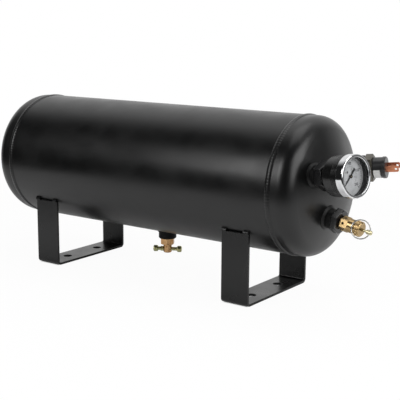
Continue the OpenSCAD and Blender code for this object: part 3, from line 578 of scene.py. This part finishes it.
def white_where_seen(s, seen_share, gloss_share):
    """Plain white over a shader, by one share for the camera and through glass, and by another for gloss."""
    path = s.add("ShaderNodeLightPath").outputs
    factor = s.math("MULTIPLY", path["Is Camera Ray"], seen_share)
    for ray, share in (("Is Glossy Ray", gloss_share), ("Is Transmission Ray", seen_share)):
        factor = s.math("MAXIMUM", factor, s.math("MULTIPLY", path[ray], share))
    plain = s.add("ShaderNodeEmission", {"Color": WHITE})
    s.surface(s.add("ShaderNodeMixShader", {0: factor, 1: s.bsdf.outputs[0], 2: plain.outputs[0]}).outputs[0])


def beside_feet(s):
    """0 on the ground under a foot, which its bolt holes show in shadow, and 1 elsewhere."""
    place = s.add("ShaderNodeNewGeometry").outputs["Position"]
    clear = 1.0
    for foot in ("foot_left", "foot_right"):
        low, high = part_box(foot)
        off = s.vector("ABSOLUTE", s.vector("SUBTRACT", place, (low + high) / 2))
        reach = s.add("ShaderNodeSeparateXYZ", {0: off}).outputs
        halves = [(high[i] - low[i]) / 2 for i in (0, 1)]
        within = [s.spread(reach[i], halves[i] - FOOT_FADE, halves[i], 1.0, 0.0) for i in (0, 1)]
        clear = s.math("MULTIPLY", clear, s.spread(s.math("MULTIPLY", *within), 0.0, 1.0, 1.0, 0.0))
    return clear


def floor():
    """Oval white table top. Towards its rim it turns into the white of the backdrop."""
    s = Shader("floor_white", 1.0, specular=0.0)
    s.bsdf.inputs["Base Color"].default_value = FLOOR_TONE
    rimward = s.spread(s.vector("LENGTH", s.where), *FLOOR_SEEN)
    white_where_seen(s, s.math("MULTIPLY", beside_feet(s), rimward), FLOOR_GLOSS)
    bm = bmesh.new()
    rim = [polar(1.0, 360.0 * i / FLOOR_POINTS) for i in range(FLOOR_POINTS)]
    bm.faces.new([bm.verts.new((x, y, 0.0)) for x, y in rim])
    mesh = bpy.data.meshes.new("floor")
    bm.to_mesh(mesh)
    bm.free()
    mesh.materials.append(s.mat)
    obj = bpy.data.objects.new("floor", mesh)
    obj.location = FLOOR_PLACE
    obj.scale = FLOOR_HALVES
    bpy.context.scene.collection.objects.link(obj)


def world():
    """White to the camera. To gloss, white behind the object and dark on the camera's side, as a studio is."""
    sky = bpy.data.worlds.new("studio")
    sky.use_nodes = True
    tree = sky.node_tree
    tree.nodes.clear()
    where = add_node(tree, "ShaderNodeTexCoord").outputs["Generated"]
    direction = add_node(tree, "ShaderNodeSeparateXYZ", {0: where}).outputs
    behind = ramp(tree, direction[1], *STUDIO_DEPTH, "SMOOTHSTEP")
    aside = ramp(tree, direction[0], *STUDIO_SIDE)
    soft = add_node(tree, "ShaderNodeBackground", {"Color": calc(tree, "MULTIPLY", behind, aside)})
    plain = add_node(tree, "ShaderNodeBackground", {"Color": WHITE})
    seen = add_node(tree, "ShaderNodeLightPath").outputs["Is Camera Ray"]
    mix = add_node(tree, "ShaderNodeMixShader", {0: seen, 1: soft.outputs[0], 2: plain.outputs[0]})
    add_node(tree, "ShaderNodeOutputWorld", {"Surface": mix.outputs[0]})
    bpy.context.scene.world = sky


def lamp(name, where, target, size, power, glossy=True):
    """A rectangular lamp of that width and height, turned towards the target."""
    light = bpy.data.lights.new(name, "AREA")
    light.shape = "RECTANGLE"
    light.size, light.size_y = size
    light.energy = power
    obj = bpy.data.objects.new(name, light)
    obj.location = where
    obj.rotation_mode = "QUATERNION"
    obj.rotation_quaternion = (Vector(target) - Vector(where)).to_track_quat("-Z", "Y")
    obj.visible_glossy = glossy
    bpy.context.scene.collection.objects.link(obj)


floor()
world()
lamp("front_soft", (-0.51, -1.47, 0.9), (0.1, 0.0, 0.13), (0.7, 0.8), 10.0)
lamp("side_soft", (1.33, -0.15, 0.7), (0.2, 0.0, 0.14), (1.3, 1.0), 13.0)
lamp("overhead", (0.15, 0.1, 1.4), (0.0, 0.0, 0.1), (0.9, 0.9), 3.8)
lamp("level", (0.9, -1.3, 1.7), (0.0, 0.0, 0.1), (1.4, 1.4), 10.0, glossy=False)


# Camera of the photograph

AZIMUTH, ELEVATION, ROLL = (math.radians(a) for a in (36.155, 11.178, 0.396))
CAMERA_PLACE = (0.623618, -0.791768, 0.280784)
FOCAL_PX, FRAME_PX = 928.341, 400
SENSOR_MM = 36.0

level_share = math.cos(ELEVATION)
back = Vector((math.sin(AZIMUTH) * level_share, -math.cos(AZIMUTH) * level_share, math.sin(ELEVATION)))
level = (-back).cross(Vector((0, 0, 1))).normalized()
above = level.cross(-back)
right = math.cos(ROLL) * level + math.sin(ROLL) * above
up = -math.sin(ROLL) * level + math.cos(ROLL) * above
camera_data = bpy.data.cameras.new("photo_camera")
camera_data.sensor_width = SENSOR_MM
camera_data.lens = FOCAL_PX / FRAME_PX * SENSOR_MM
camera_data.clip_start = 0.05
camera_data.clip_end = 30.0
camera = bpy.data.objects.new("photo_camera", camera_data)
turn = Matrix((right, up, back)).transposed().to_4x4()
turn.translation = Vector(CAMERA_PLACE)
camera.matrix_world = turn
bpy.context.scene.collection.objects.link(camera)
bpy.context.scene.camera = camera
bpy.context.scene.view_settings.view_transform = "Standard"
